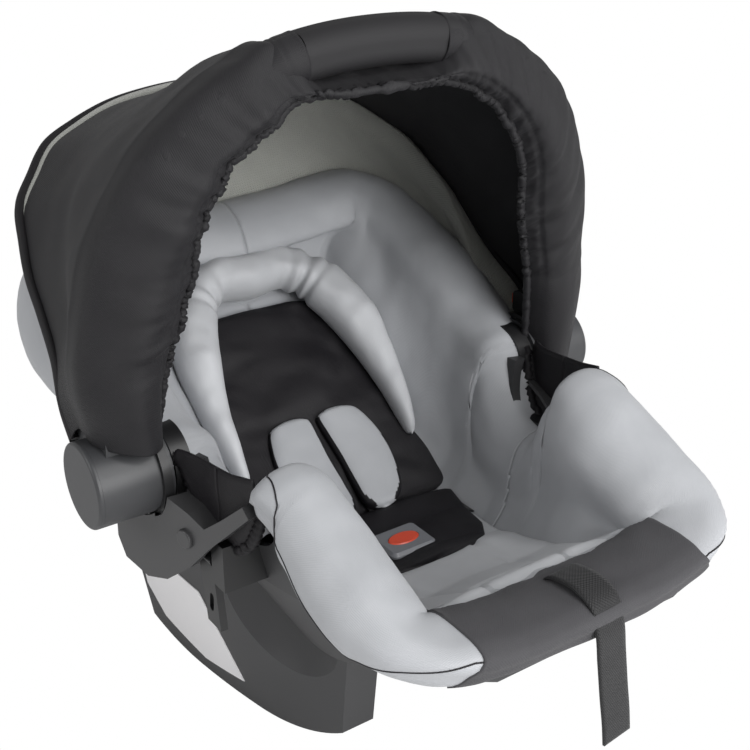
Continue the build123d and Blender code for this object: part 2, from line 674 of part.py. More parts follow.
tongue -= block(7, 37, -44.5, -39, 150, 180)
tongue -= block(9, 14, -74, -67, 150, 180)
both("buckle_tongue", tongue)

# adjuster under the foot patch
LEVER_PIN = 1.5
adjuster = block(-20, 20, ADJUSTER_Y - 9, ADJUSTER_Y + 18, 203, 222.5)
adjuster -= block(-15.4, 15.4, ADJUSTER_Y - 3, ADJUSTER_Y + 3.1, 190, 240)
adjuster -= block(-13.6, 13.6, ADJUSTER_Y + 3, ADJUSTER_Y + 15.6, 205, 240)
adjuster -= rod_x(LEVER_PIN + 0.05, -18.1, 18.1, y=-245, z=213)
keep("adjuster_body", adjuster)
cam = side_prism([(-249.6, 209), (-239, 212), (-238.4, 217.5), (-249.6, 214.5)], -13, 13)
cam += rod_x(3, -13, 13, y=-245, z=213)
cam -= rod_x(LEVER_PIN + PIN_RUN, -20, 20, y=-245, z=213)
keep("adjuster_lever", cam)
keep("adjuster_pin", rod_x(LEVER_PIN, -18, 18, y=-245, z=213))
pull_run = [
    (24, 131.6), (8, 119.1), (-30, 106), (-62, 101), (-100, 106), (-128, 116), (-160, 138), (-184, 155),
    (-215, 182), (-246, 191), (ADJUSTER_Y, 199), (ADJUSTER_Y, 236), (-255, 239.2), (-264, 239.2),
    (-286, 238.2), (-294.5, 232), (-299, 200), (-304, 150),
]
keep("adjuster_strap", side_prism(band(pull_run, STRAP_T), -13, 13))
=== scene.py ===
"""Looks of the infant car seat: soft covers, canopy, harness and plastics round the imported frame."""
import json
import math

import bpy
import numpy as np
from mathutils import Matrix, Vector, noise


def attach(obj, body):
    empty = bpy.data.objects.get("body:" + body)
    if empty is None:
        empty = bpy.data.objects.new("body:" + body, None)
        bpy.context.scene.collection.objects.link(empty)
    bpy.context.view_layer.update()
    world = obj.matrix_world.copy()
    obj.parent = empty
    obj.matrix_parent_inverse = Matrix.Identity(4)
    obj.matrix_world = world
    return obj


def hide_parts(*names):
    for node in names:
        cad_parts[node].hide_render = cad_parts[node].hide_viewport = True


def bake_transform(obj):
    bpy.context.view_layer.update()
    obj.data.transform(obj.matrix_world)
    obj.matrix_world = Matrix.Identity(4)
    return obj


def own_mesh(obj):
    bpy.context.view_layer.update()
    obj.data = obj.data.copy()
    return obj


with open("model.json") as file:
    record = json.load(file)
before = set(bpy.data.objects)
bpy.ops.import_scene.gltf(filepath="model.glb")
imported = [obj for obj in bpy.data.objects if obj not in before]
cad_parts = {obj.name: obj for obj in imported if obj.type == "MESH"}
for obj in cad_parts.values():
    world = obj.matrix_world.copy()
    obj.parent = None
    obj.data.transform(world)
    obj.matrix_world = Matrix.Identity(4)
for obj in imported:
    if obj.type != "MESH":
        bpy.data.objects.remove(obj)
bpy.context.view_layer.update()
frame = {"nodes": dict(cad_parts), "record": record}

# ---------------------------------------------------------------- places, in millimetres
HUB_Y = 22.0              # the drawing's own origin is under the handle axis
HUB_Z = 264.0


def metres(points):
    """Millimetres round the hub to metres in the frame."""
    points = np.asarray(points, float)
    return (points + np.array([0.0, HUB_Y, 0.0])) / 1000.0


def spline(points, count):
    """Points spaced evenly along a smooth curve through the given ones."""
    points = np.asarray(points, float)
    chord = np.maximum(np.linalg.norm(np.diff(points, axis=0), axis=1), 1e-6)
    slope = np.diff(points, axis=0) / chord[:, None]
    if len(points) > 2:
        both = (chord[1:] + chord[:-1])[:, None]
        inner = (slope[:-1] * chord[1:, None] + slope[1:] * chord[:-1, None]) / both
        tangent = np.vstack([slope[:1], inner, slope[-1:]])
    else:
        tangent = np.vstack([slope, slope])
    t = np.linspace(0, 1, 16, endpoint=False)[None, :, None]
    a = points[:-1, None]
    b = points[1:, None]
    m = tangent[:-1, None] * chord[:, None, None]
    n = tangent[1:, None] * chord[:, None, None]
    dense = ((2 * t ** 3 - 3 * t ** 2 + 1) * a + (t ** 3 - 2 * t ** 2 + t) * m
             + (3 * t ** 2 - 2 * t ** 3) * b + (t ** 3 - t ** 2) * n)
    dense = np.vstack([dense.reshape(-1, points.shape[1]), points[-1:]])
    length = np.concatenate([[0], np.cumsum(np.linalg.norm(np.diff(dense, axis=0), axis=1))])
    wanted = np.linspace(0, length[-1], count)
    return np.stack([np.interp(wanted, length, dense[:, k]) for k in range(points.shape[1])], axis=1)


def unit(vectors):
    """The same directions with length 1."""
    vectors = np.asarray(vectors, float)
    return vectors / np.maximum(np.linalg.norm(vectors, axis=-1, keepdims=True), 1e-9)


def ramp(value, low, high):
    """0 below low, 1 above high, smooth between."""
    t = np.clip((np.asarray(value, float) - low) / (high - low), 0, 1)
    return t * t * (3 - 2 * t)


def bumps(points, size, seed):
    """Smooth noise from -1 to 1 at points, with lumps of the given size."""
    shape = points.shape[:-1]
    flat = points.reshape(-1, 3) / size
    values = [noise.noise(Vector((p[0] + seed, p[1] - seed, p[2] + 2 * seed))) for p in flat]
    return np.array(values).reshape(shape)


# ---------------------------------------------------------------- materials
def nodes_of(name):
    """A new material with its node tree and its shader."""
    material = bpy.data.materials.new(name)
    material.use_nodes = True
    tree = material.node_tree
    return material, tree, tree.nodes["Principled BSDF"]


def weave_group():
    """Shared threads: a height for the bump and a light and dark mask, from UV in metres."""
    group = bpy.data.node_groups.new("threads", "ShaderNodeTree")
    group.interface.new_socket("Pitch", in_out="INPUT", socket_type="NodeSocketFloat")
    group.interface.new_socket("Fuzz", in_out="INPUT", socket_type="NodeSocketFloat")
    group.interface.new_socket("Height", in_out="OUTPUT", socket_type="NodeSocketFloat")
    group.interface.new_socket("Shade", in_out="OUTPUT", socket_type="NodeSocketFloat")
    add = group.nodes.new
    source = add("NodeGroupInput")
    target = add("NodeGroupOutput")
    place = add("ShaderNodeTexCoord")
    split = add("ShaderNodeSeparateXYZ")
    group.links.new(place.outputs["UV"], split.inputs[0])

    def calculate(operation, *values):
        node = add("ShaderNodeMath")
        node.operation = operation
        for value, socket in zip(values, node.inputs):
            group.links.new(value, socket)
        return node.outputs[0]

    pitch = source.outputs["Pitch"]
    waves = [calculate("SINE", calculate("MULTIPLY", split.outputs[axis], pitch)) for axis in ("X", "Y")]
    crossed = calculate("MULTIPLY", *waves)
    fuzz = add("ShaderNodeTexNoise")
    fuzz.inputs["Scale"].default_value = 900.0
    fuzz.inputs["Detail"].default_value = 3.0
    group.links.new(place.outputs["UV"], fuzz.inputs["Vector"])
    weighed = calculate("MULTIPLY", fuzz.outputs["Fac"], source.outputs["Fuzz"])
    group.links.new(calculate("ADD", crossed, weighed), target.inputs["Height"])
    patches = add("ShaderNodeTexNoise")
    patches.inputs["Scale"].default_value = 30.0
    patches.inputs["Detail"].default_value = 4.0
    group.links.new(place.outputs["UV"], patches.inputs["Vector"])
    group.links.new(patches.outputs["Fac"], target.inputs["Shade"])
    return group


threads = weave_group()


def cloth(name, dark, light, roughness, pitch, fuzz, depth, sheen=0.2, gloss=0.0):
    """Woven or piled cloth between two colours."""
    material, tree, shader = nodes_of(name)
    weave = tree.nodes.new("ShaderNodeGroup")
    weave.node_tree = threads
    weave.inputs["Pitch"].default_value = pitch
    weave.inputs["Fuzz"].default_value = fuzz
    mix = tree.nodes.new("ShaderNodeMix")
    mix.data_type = "RGBA"
    mix.inputs["A"].default_value = (*dark, 1)
    mix.inputs["B"].default_value = (*light, 1)
    tree.links.new(weave.outputs["Shade"], mix.inputs["Factor"])
    tree.links.new(mix.outputs["Result"], shader.inputs["Base Color"])
    bump = tree.nodes.new("ShaderNodeBump")
    bump.inputs["Strength"].default_value = 0.5
    bump.inputs["Distance"].default_value = depth
    tree.links.new(weave.outputs["Height"], bump.inputs["Height"])
    tree.links.new(bump.outputs["Normal"], shader.inputs["Normal"])
    shader.inputs["Roughness"].default_value = roughness
    shader.inputs["Sheen Weight"].default_value = sheen
    shader.inputs["Sheen Roughness"].default_value = 0.5
    shader.inputs["Specular IOR Level"].default_value = 0.3 + gloss
    return material


def plastic(name, colour, roughness, grain=0.0):
    """Moulded plastic with a fine grain in the tool."""
    material, tree, shader = nodes_of(name)
    shader.inputs["Base Color"].default_value = (*colour, 1)
    shader.inputs["Roughness"].default_value = roughness
    if grain:
        place = tree.nodes.new("ShaderNodeTexCoord")
        texture = tree.nodes.new("ShaderNodeTexNoise")
        texture.inputs["Scale"].default_value = 1400.0
        texture.inputs["Detail"].default_value = 2.0
        bump = tree.nodes.new("ShaderNodeBump")
        bump.inputs["Strength"].default_value = grain
        bump.inputs["Distance"].default_value = 0.0002
        tree.links.new(place.outputs["Object"], texture.inputs["Vector"])
        tree.links.new(texture.outputs["Fac"], bump.inputs["Height"])
        tree.links.new(bump.outputs["Normal"], shader.inputs["Normal"])
    return material


# The first satin is the cover's grey satin made lighter, as painted light for the seat cushion and the head
# hugger, which stand lit at the front; the second is the same satin for the cover and the pads.
LIT_SATIN = cloth("grey satin painted lighter", (0.47, 0.48, 0.50), (0.56, 0.57, 0.59),
             0.45, 5200, 0.6, 0.00012, 0.1, 0.2)
SATIN = cloth("grey satin", (0.36, 0.37, 0.39), (0.44, 0.45, 0.47),
              0.45, 5200, 0.6, 0.00012, 0.1, 0.2)
BLACK = cloth("black cloth", (0.008, 0.0075, 0.009), (0.015, 0.0145, 0.0165),
              0.55, 4200, 1.0, 0.0002, 0.02)
LINING = cloth("black lining", (0.008, 0.007, 0.009), (0.013, 0.012, 0.014),
               0.5, 4200, 0.8, 0.0002, 0.0)
PATCH = cloth("dark cloth", (0.050, 0.049, 0.053), (0.068, 0.067, 0.072), 0.7, 3600, 1.4, 0.0002, 0.05)
# The olive mesh's colour is raised well above its own tone, as painted light for the back panel, which lies
# in shade behind the bow.
MESH = cloth("olive mesh", (0.30, 0.305, 0.28), (0.40, 0.405, 0.375), 0.85, 2600, 2.2, 0.0005, 0.3)
WEBBING = cloth("webbing", (0.008, 0.008, 0.009), (0.017, 0.017, 0.018), 0.5, 2400, 0.5, 0.0005, 0.1)
CHARCOAL = plastic("charcoal plastic", (0.036, 0.036, 0.038), 0.5, 0.35)
HUB = plastic("satin charcoal plastic", (0.040, 0.041, 0.044), 0.42, 0.3)
WING = plastic("smooth charcoal plastic", (0.048, 0.048, 0.050), 0.38, 0.1)
INK = plastic("black plastic", (0.012, 0.012, 0.013), 0.38, 0.15)
GREY = plastic("grey plastic", (0.17, 0.175, 0.19), 0.35, 0.1)
RED = plastic("red plastic", (0.66, 0.075, 0.035), 0.3)
ORANGE = plastic("orange plastic", (0.66, 0.12, 0.06), 0.35)
WHITE = plastic("white plate", (0.80, 0.79, 0.80), 0.35)
RUBBER = plastic("soft grip", (0.009, 0.0085, 0.010), 0.72, 0.4)
STEEL = plastic("steel", (0.45, 0.45, 0.46), 0.3)
STEEL.node_tree.nodes["Principled BSDF"].inputs["Metallic"].default_value = 1.0

FINISH = {
    "charcoal_plastic": CHARCOAL, "grey_plastic": GREY, "black_plastic": INK,
    "orange_plastic": ORANGE, "red_plastic": RED, "white_plate": WHITE,
    "steel": STEEL, "black_rubber": RUBBER, "black_fabric": BLACK,
    "grey_fabric": SATIN, "plush": MESH, "webbing": WEBBING,
}
for part in frame["record"]["subparts"]:
    shown = frame["nodes"][part["node"]]
    for slot in shown.material_slots:
        slot.material = FINISH[part["material_slot"]]
for names, finish in (
    (("belt_guide_right", "belt_guide_left", "guide_bosses"), WING),
    (("handle_hub_right", "handle_hub_left", "hub_cap_right", "hub_cap_left"), HUB),
    (("buckle_face",), GREY),
    (("canopy_bow",), INK),
):
    for name in names:
        for slot in frame["nodes"][name].material_slots:
            slot.material = finish


# ---------------------------------------------------------------- mesh helpers
def add_mesh(name, vertices, faces, materials, uvs=None, kinds=None):
    """Object from points in millimetres, with its UV and a material number for each face."""
    mesh = bpy.data.meshes.new(name)
    corners = [tuple(int(k) for k in face) for face in faces]
    mesh.from_pydata([tuple(v) for v in metres(vertices)], [], corners)
    mesh.validate()
    for material in materials:
        mesh.materials.append(material)
    if uvs is not None:
        layer = mesh.uv_layers.new(name="cut")
        loop_uv = np.array([uvs[v.vertex_index] for v in mesh.loops], dtype=np.float32)
        layer.data.foreach_set("uv", loop_uv.ravel())
    if kinds is not None:
        mesh.polygons.foreach_set("material_index", np.array(kinds, dtype=np.int32))
    mesh.polygons.foreach_set("use_smooth", [True] * len(mesh.polygons))
    obj = bpy.data.objects.new(name, mesh)
    bpy.context.scene.collection.objects.link(obj)
    return obj


def grid_faces(rows, columns, wrap_columns=False):
    """Four-sided faces of a grid, closed round its columns if it is a tube."""
    faces = []
    for i in range(rows - 1):
        this, following = i * columns, (i + 1) * columns
        for j in range(columns if wrap_columns else columns - 1):
            beside = (j + 1) % columns
            faces.append((this + j, following + j, following + beside, this + beside))
    return faces


def tube_faces(rows, columns):
    """Faces of a tube with a flat face at each end."""
    faces = grid_faces(rows, columns, wrap_columns=True)
    faces.append(tuple(range(columns))[::-1])
    faces.append(tuple((rows - 1) * columns + k for k in range(columns)))
    return faces


def grid_uv(grid):
    """UV in metres from distances along the grid."""
    step_u = np.linalg.norm(np.diff(grid, axis=0), axis=2)
    step_v = np.linalg.norm(np.diff(grid, axis=1), axis=2)
    u = np.concatenate([[0], np.cumsum(step_u.mean(axis=1))])[:, None] * np.ones((1, grid.shape[1]))
    v = np.concatenate([np.zeros((grid.shape[0], 1)), np.cumsum(step_v, axis=1)], axis=1)
    return np.stack([u, v], axis=2).reshape(-1, 2) / 1000.0


def tube_uv(grid):
    """UV of a tube, with its seam where the columns start."""
    rows, columns = grid.shape[:2]
    closed = np.concatenate([grid, grid[:, :1]], axis=1)
    return grid_uv(closed).reshape(rows, columns + 1, 2)[:, :-1].reshape(-1, 2)


def path_lengths(path):
    """Distance along a path at each of its points."""
    return np.concatenate([[0], np.cumsum(np.linalg.norm(np.diff(path, axis=0), axis=1))])


def grid_object(name, grid, materials, choose=None, kinds=None):
    """Surface through a grid of points; choose and kinds take the face centres."""
    faces = grid_faces(grid.shape[0], grid.shape[1])
    flat = grid.reshape(-1, 3)
    centres = flat[np.array(faces)].mean(axis=1)
    keep = np.ones(len(faces), bool) if choose is None else choose(centres)
    kind = np.zeros(len(faces), int) if kinds is None else kinds(centres, np.arange(len(faces)))
    faces = [f for f, k in zip(faces, keep) if k]
    used = sorted({v for f in faces for v in f})
    index = {v: k for k, v in enumerate(used)}
    uvs = grid_uv(grid)[used]
    faces = [tuple(index[v] for v in f) for f in faces]
    return add_mesh(name, flat[used], faces, materials, uvs, kind[keep])


def skin(obj, thickness, offset=-1.0):
    """Gives a surface the thickness of its cloth, in millimetres."""
    bpy.context.view_layer.objects.active = obj
    modifier = obj.modifiers.new("skin", "SOLIDIFY")
    modifier.thickness = thickness / 1000.0
    modifier.offset = offset
    modifier.use_even_offset = False
    return obj


def soft_bar(name, path, side, up, half, thick, materials, power=2.5, segments=32,
             round_ends=(12, 12), lumps=0.0, seed=1, kinds=None):
    """Stuffed bar: a rounded section swept along a path and closed at both ends."""
    count = len(path)
    angle = np.linspace(0, 2 * np.pi, segments, endpoint=False)
    across = np.sign(np.cos(angle)) * np.abs(np.cos(angle)) ** (2 / power)
    above = np.sign(np.sin(angle)) * np.abs(np.sin(angle)) ** (2 / power)
    along = path_lengths(path)
    first, last = round_ends
    size = np.ones(count)
    for distance, reach in ((along, first), (along[-1] - along, last)):
        if reach:
            t = np.clip(distance / reach, 0, 1)
            size = np.minimum(size, np.sqrt(np.maximum(1 - (1 - t) ** 2, 0.0004)))
    grid = (path[:, None, :] + side[:, None, :] * (half * size)[:, None, None] * across[None, :, None]
            + up[:, None, :] * (thick / 2 * size)[:, None, None] * above[None, :, None])
    if lumps:
        push = bumps(grid, 34.0, seed) * lumps + bumps(grid, 15.0, seed + 5) * lumps * 0.35
        grid = grid + up[:, None, :] * (push * np.maximum(above, 0)[None, :] * size[:, None])[:, :, None]
    faces = tube_faces(count, segments)
    kind = None
    if kinds is not None:
        kind = kinds(grid.reshape(-1, 3)[np.array(faces[:-2])].mean(axis=1)).tolist() + [0, 0]
    return add_mesh(name, grid.reshape(-1, 3), faces, materials, tube_uv(grid), kind)


def cord_along(name, path, radius, material, sides=10):
    """Round piping along a path."""
    path = np.asarray(path, float)
    tangent = unit(np.gradient(path, axis=0))
    side = unit(np.cross(tangent, np.array([0.13, 0.21, 0.97])))
    up = unit(np.cross(tangent, side))
    angle = np.linspace(0, 2 * np.pi, sides, endpoint=False)
    radius = (np.ones(len(path)) * radius)[:, None, None]
    grid = path[:, None, :] + radius * (side[:, None, :] * np.cos(angle)[None, :, None]
                                        + up[:, None, :] * np.sin(angle)[None, :, None])
    faces = tube_faces(len(path), sides)
    return add_mesh(name, grid.reshape(-1, 3), faces, [material], tube_uv(grid))


def arch(half, tilt, count, lift=0.0, drop=0.0, shift=0.0):
    """Points of a whole arch beside a plane through the handle axis, from -X to +X.
    lift stands off that plane, drop lowers the foot on the +X side, shift slides the middle to -X."""
    flat = spline([(-x, up) for x, up in half] + list(half[-2::-1]), count)
    x, reach = flat.T
    low = np.clip((84 - reach) / 50, 0, 1) * (x > 0)
    reach = reach - drop * low
    stand = lift - 10 * low * (drop > 0)
    x = x - shift * np.exp(-(x / 100) ** 2)
    turn = math.radians(tilt)
    return np.stack([x, reach * math.sin(turn) + stand * math.cos(turn),
                     HUB_Z + reach * math.cos(turn) - stand * math.sin(turn)], axis=1)


# ---------------------------------------------------------------- canopy
COUNT = 561               # points along each arch
CANOPY_ROWS = 30          # from the bow to the handle
LIP_ROWS = 46             # round the handle to the elastic
TILT = -7.0               # degrees that the handle leans forward
SHIFT = 8.0               # the opening's middle lies this far to one side
rear_edge = arch([(223, 36), (221, 62), (213, 100), (208, 145), (205.5, 175), (199, 206),
                  (189, 241), (170, 267), (148, 293), (116, 311), (84, 324), (40, 333), (0, 336)],
                 50, COUNT)
handle_edge = arch([(221, 38), (227, 70), (230, 95), (225, 140), (209, 196), (184, 238),
                    (152, 269), (112, 293), (84, 304), (68, 299), (54, 286), (0, 282)],
                   TILT, COUNT, 18, 0, SHIFT)
outer_edge = arch([(219, 36), (227, 70), (230, 95), (225, 140), (209, 199), (184, 241),
                   (153, 271), (112, 296), (84, 307), (68, 301), (54, 284), (0, 278)],
                  TILT, COUNT, -6, 22, SHIFT)
front_edge = arch([(205, 34), (213, 70), (214, 95), (206, 140), (188, 196), (165, 233),
                   (136, 259), (103, 280), (80, 288), (66, 285), (52, 278), (0, 275)],
                  TILT, COUNT, -22, 30, SHIFT)
fold_edge = arch([(190, 33), (196, 80), (191, 113), (175, 165), (164, 190), (143, 226),
                  (115, 252), (86, 271), (64, 275), (50, 275), (0, 274)],
                 TILT, COUNT, -29, 34, SHIFT)
turned = arch([(183, 33), (184, 80), (175, 113), (160, 165), (151, 195), (131, 228),
               (103, 252), (76, 267), (56, 272), (40, 272), (0, 272)],
              TILT, COUNT, -24, 38, SHIFT)
elastic = arch([(180, 33), (173, 80), (161, 113), (150, 150), (143, 190), (123, 226),
                (95, 252), (69, 268), (50, 271), (40, 271), (0, 271)],
               -10.0, COUNT, -4, 40, SHIFT)

share = np.linspace(0, 1, CANOPY_ROWS)[:-1]
rows = [rear_edge * (1 - t) + handle_edge * t for t in share]
sag = np.sin(np.pi * np.linspace(0, 1, COUNT)) ** 0.5
centre = np.array([0.0, 60.0, 330.0])
axis_at = np.array([0.0, 0.0, HUB_Z])


def from_axis(points):
    """Distance of each point from the handle's axis."""
    return np.linalg.norm((points - axis_at)[..., 1:], axis=-1)


for k, t in enumerate(share):
    near = from_axis(rows[k])
    round_reach = from_axis(rear_edge) * (1 - t) + from_axis(handle_edge) * t
    grow = 1 + (round_reach / near - 1) * (1 - ramp(near, 70, 130))
    rows[k] = axis_at + (rows[k] - axis_at) * np.stack([np.ones(COUNT), grow, grow], axis=1)
    inward = unit(centre - rows[k])
    rows[k] = rows[k] + inward * (math.sin(math.pi * t) * 6.0 * sag)[:, None]
lip = [handle_edge, outer_edge, front_edge, fold_edge, turned, elastic]
lip_rows = np.stack([spline(np.stack([row[i] for row in lip]), LIP_ROWS) for i in range(COUNT)],
                    axis=1)
canopy = np.concatenate([np.stack(rows), lip_rows], axis=0)
tangent_u = unit(np.gradient(canopy, axis=1))
tangent_v = unit(np.gradient(canopy, axis=0))
canopy_n = unit(np.cross(tangent_u, tangent_v))
sample = (10, 180)        # any point between bow and handle, to turn the normals outwards
if (canopy_n[sample] * (canopy[sample] - centre)).sum() < 0:
    canopy_n = -canopy_n
rows_total = canopy.shape[0]
reach_u = path_lengths(elastic)
back_from = np.linalg.norm(np.diff(canopy, axis=0), axis=2)[::-1].cumsum(axis=0)[::-1]
back_from = np.concatenate([back_from, np.zeros((1, COUNT))])
rows_at = np.tile(reach_u[None, :], (rows_total, 1)) + 0.35 * back_from


def wrinkles(width, stretch, seed):
    """Noise drawn out across the front edge, so that folds run back from it."""
    drawn = np.stack([rows_at, back_from / stretch, np.zeros_like(rows_at)], axis=2)
    return bumps(drawn, width, seed)


row_index = np.arange(rows_total)
start = len(rows)
gather = wrinkles(3.4, 3.0, 2) * 1.9 * np.exp(-(back_from / 17) ** 4)
gather = gather + wrinkles(9.0, 4.0, 5) * 3.0 * np.exp(-(back_from / 42) ** 2)
gather = gather + wrinkles(20.0, 3.0, 11) * 4.0 * np.exp(-(back_from / 95) ** 2)
gather = gather - 1.6 * np.exp(-((back_from - 14) / 1.6) ** 2)
slack = bumps(canopy, 95.0, 3) * 6.0 + bumps(canopy, 38.0, 9) * 1.8
slack = slack * (1 - 0.6 * ramp(row_index, start - 8, start + 3))[:, None]
slack = slack * ramp(row_index, 0, 12)[:, None]
foot_hem = 1 - ramp(from_axis(canopy), 66, 120)
push = (slack + gather - 1.0) * (1 - foot_hem) + 3.5 * foot_hem
canopy = canopy + canopy_n * push[:, :, None]
hood = grid_object("canopy", canopy, [BLACK])
skin(hood, 1.6)
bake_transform(hood)
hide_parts("canopy_fabric", "canopy_sleeve")

piping = cord_along("canopy_piping", rear_edge, 4.6, LINING, 12)
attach(piping, "canopy_bow")

# gathered casing of the elastic along the front edge
casing_path = canopy[-1] + unit(centre - canopy[-1]) * 1.0
edge_line = np.stack([reach_u, np.zeros(COUNT), np.zeros(COUNT)], axis=1)[:, None]
ruffle = 3.4 + 1.6 * bumps(edge_line, 3.2, 17)[:, 0]
casing_path = casing_path + canopy_n[-1] * (1.8 * bumps(edge_line, 4.5, 23)[:, 0])[:, None]
casing = cord_along("canopy_casing", casing_path, ruffle, BLACK, 14)
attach(casing, "handle")

# sleeves that tie the canopy round the two arms of the handle, each ending in a hem on the grip
arm_half = [(206, 84), (206, 110), (200, 160), (181, 215), (140, 262), (80, 289), (40, 295.5), (0, 298)]
ARM_COUNT = 400
arm = arch(arm_half, TILT, ARM_COUNT)
arm_t = unit(np.gradient(arm, axis=0))
arm_up = np.tile(np.array([0, math.cos(math.radians(TILT)), -math.sin(math.radians(TILT))]),
                 (ARM_COUNT, 1))
arm_side = unit(np.cross(arm_t, arm_up))
angle = np.linspace(0, 2 * np.pi, 40, endpoint=False)
for side_name, sign, hem_x in (("left", -1, 64), ("right", 1, 50)):
    keep_arm = arm[:, 0] * sign > hem_x
    mid = arm[keep_arm]
    end = np.abs(mid[:, 0]) - hem_x
    flare = 1 - ramp(end, 15, 34)
    hem = 0.5 * np.exp(-((end - 1) / 1.5) ** 2) - 0.5 * np.exp(-((end - 14) / 1.2) ** 2)
    reach_arm = np.cumsum(np.linalg.norm(np.gradient(mid, axis=0), axis=1))[:, None]
    wave = 1.1 * np.sin(reach_arm / 3.1 + 1.2 * np.sin(angle * 2)[None, :] + 2 * np.sin(reach_arm / 30))
    wave = wave * (1 - flare)[:, None]
    wide = (12.5 + 5.9 * flare + hem)[:, None] + wave
    deep = (16.0 + 2.4 * flare + hem)[:, None] + wave
    grid = (mid[:, None] + arm_side[keep_arm][:, None] * (wide * np.cos(angle)[None, :])[:, :, None]
            + arm_up[keep_arm][:, None] * (deep * np.sin(angle)[None, :])[:, :, None])
    grid = np.concatenate([grid, grid[:, :1]], axis=1)
    sleeve = grid_object("canopy_sleeve_" + side_name, grid, [BLACK])
    skin(sleeve, 1.2)
    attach(sleeve, "handle")

# mesh panel between the bow and the head end, with the bow lying in its front channel
PANEL_COUNT = 181
outer_line = arch([(216, 38), (214, 64), (206, 104), (204, 150), (203, 174), (196, 204), (186, 239),
                   (167, 265), (145, 290), (114, 308), (83, 321), (40, 330), (0, 333)],
                  48.2, PANEL_COUNT)
front_line = arch([(178, 38), (177, 64), (186, 104), (193, 150), (194, 172), (189, 204), (178, 236),
                   (160, 260), (139, 283), (110, 300), (81, 312), (40, 321), (0, 323)],
                  47.0, PANEL_COUNT)
back_line = arch([(178, 38), (177, 64), (186, 104), (192, 150), (193, 172), (186, 206), (174, 238),
                  (156, 262), (136, 282), (108, 298), (80, 308), (40, 316), (0, 318)],
                 52.5, PANEL_COUNT)
rim_half = [(183, 28, 286), (186, 52, 302), (188, 90, 324), (186, 122, 342), (180, 158, 357),
            (167, 190, 371), (146, 207, 376), (108, 215, 376), (60, 212, 373), (0, 209, 371)]
rim_line = spline([(-x, y, z) for x, y, z in rim_half] + rim_half[-2::-1], PANEL_COUNT)
panel_rows = [spline(rear_edge, PANEL_COUNT), outer_line, front_line]
for t in np.linspace(0, 1, 14):
    row = back_line * (1 - t) + rim_line * t
    panel_rows.append(row + unit(centre - row) * (-4.0 * math.sin(math.pi * t)))
panel = grid_object("back_panel", np.stack(panel_rows), [MESH])
skin(panel, 1.5)
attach(panel, "seat")
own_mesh(panel)
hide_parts("canopy_back_panel")


# ---------------------------------------------------------------- padded cover
crest_half = [
    (0, 214, 379), (60, 217, 381), (108, 219, 385), (142, 211, 387), (164, 190, 380), (177, 155, 364),
    (181, 112, 344), (182, 70, 324), (180, 30, 304), (175, 2, 292), (171, -16, 285), (168, -26, 277),
    (164, -33, 262), (161, -41, 245), (158, -55, 233), (157, -75, 228), (156, -92, 231),
    (154, -107, 245), (153, -116, 264), (152, -121, 284), (152, -127, 301), (150, -140, 302),
    (149, -160, 296), (150, -185, 284), (150, -210, 273), (148, -235, 262), (139, -260, 248),
    (115, -280, 239), (80, -288, 236), (0, -291, 235),
]
COVER_COLUMNS = 64        # points from the hem over the rim to the middle
crest = spline(crest_half, 300)
crest = np.concatenate([crest, (crest * np.array([-1, 1, 1]))[::-1][1:-1]])
plan = crest[:, :2]
plan_t = unit(np.roll(plan, -2, axis=0) - np.roll(plan, 2, axis=0))
out = np.stack([plan_t[:, 1], -plan_t[:, 0]], axis=1)
flip = np.sign((out * (plan - np.array([0, -20]))).sum(axis=1))
out = out * flip[:, None]
for _ in range(6):
    out = unit((np.roll(out, 1, axis=0) + out + np.roll(out, -1, axis=0)) / 3)
cy = crest[:, 1]
head = ramp(cy, 20, 150)
foot = ramp(-cy, 240, 284)
notch = ramp(cy, -128, -118) * (1 - ramp(cy, -30, -18))
deep = np.clip((305 - crest[:, 2]) / 77, 0, 1)
beside = ramp(cy, -170, -122) * (1 - ramp(cy, -32, 24))
flap_z = np.interp(cy, [-128, -115, -95, -70, -45, -26, -14], [304, 300, 295, 292, 290, 290, 296])
flap = np.maximum(flap_z - crest[:, 2], 2.0)


def by_notch(value, at_notch, weight):
    """A section size that changes to another with the weight."""
    return value * (1 - weight) + at_notch * weight


def by_region(at_head, at_side, at_notch, at_foot):
    """A section size that changes smoothly round the rim."""
    value = at_side * (1 - head) + at_head * head
    value = value * (1 - foot) + at_foot * foot
    return value * (1 - notch) + at_notch * notch


hem_y = [-284, -262, -229, -191, -158, -149, -128]
past_notch = cy < -118
hem_out = np.where(past_notch, np.interp(cy, hem_y, [-2, -8, -18, -5, -3, 4, 6]), by_region(4, 2, 2, 0))
hem_out = by_notch(hem_out, 7, notch)
hem_drop = np.where(past_notch, np.interp(cy, hem_y, [-20, -32, -56, -60, -56, -38, -24]),
                    by_region(-92, -56, -40, -24))
fill = np.clip(-hem_drop / 58, 0.3, 1.6)
profile = [
    (hem_out, by_notch(hem_drop, flap, notch)),
    (by_notch(hem_out * 0.6 + 5 * fill, 7, notch), by_notch(hem_drop * 0.88, flap * 0.8, notch)),
    (by_notch(by_region(31, 14, 14, 8) * np.clip(fill, 0, 1), 6, notch),
     by_notch(hem_drop * 0.55, flap * 0.5, notch)),
    (by_notch(by_region(20, 11, 11, 6), 5, notch),
     by_notch(by_region(-17, -11, -11, -4), flap * 0.15, notch)),
    (by_region(0, 0, 0, 0), by_region(0, 0, 0, 0)),
    (by_notch(by_region(-20, -18, -18, -14), -24, beside),
     by_notch(by_region(2, 1, 1, 2), 3, beside)),
    (by_notch(by_region(-40, -38, -38, -34), -38, beside),
     by_notch(by_region(-10, -9, -9, 1), -4, beside)),
    (by_notch(by_region(-50, -52, -52, -46), -47, beside),
     by_notch(by_region(-34, -34, -34, -2), -26, beside)),
]
controls = []
for n_out, dz in profile:
    height = (crest[:, 2] + dz)[:, None]
    controls.append(np.concatenate([plan + out * n_out[:, None], height], axis=1))
floor_y = np.array([-300, -240, -184, -128, -62, 0, 70, 136, 190, 230.0])
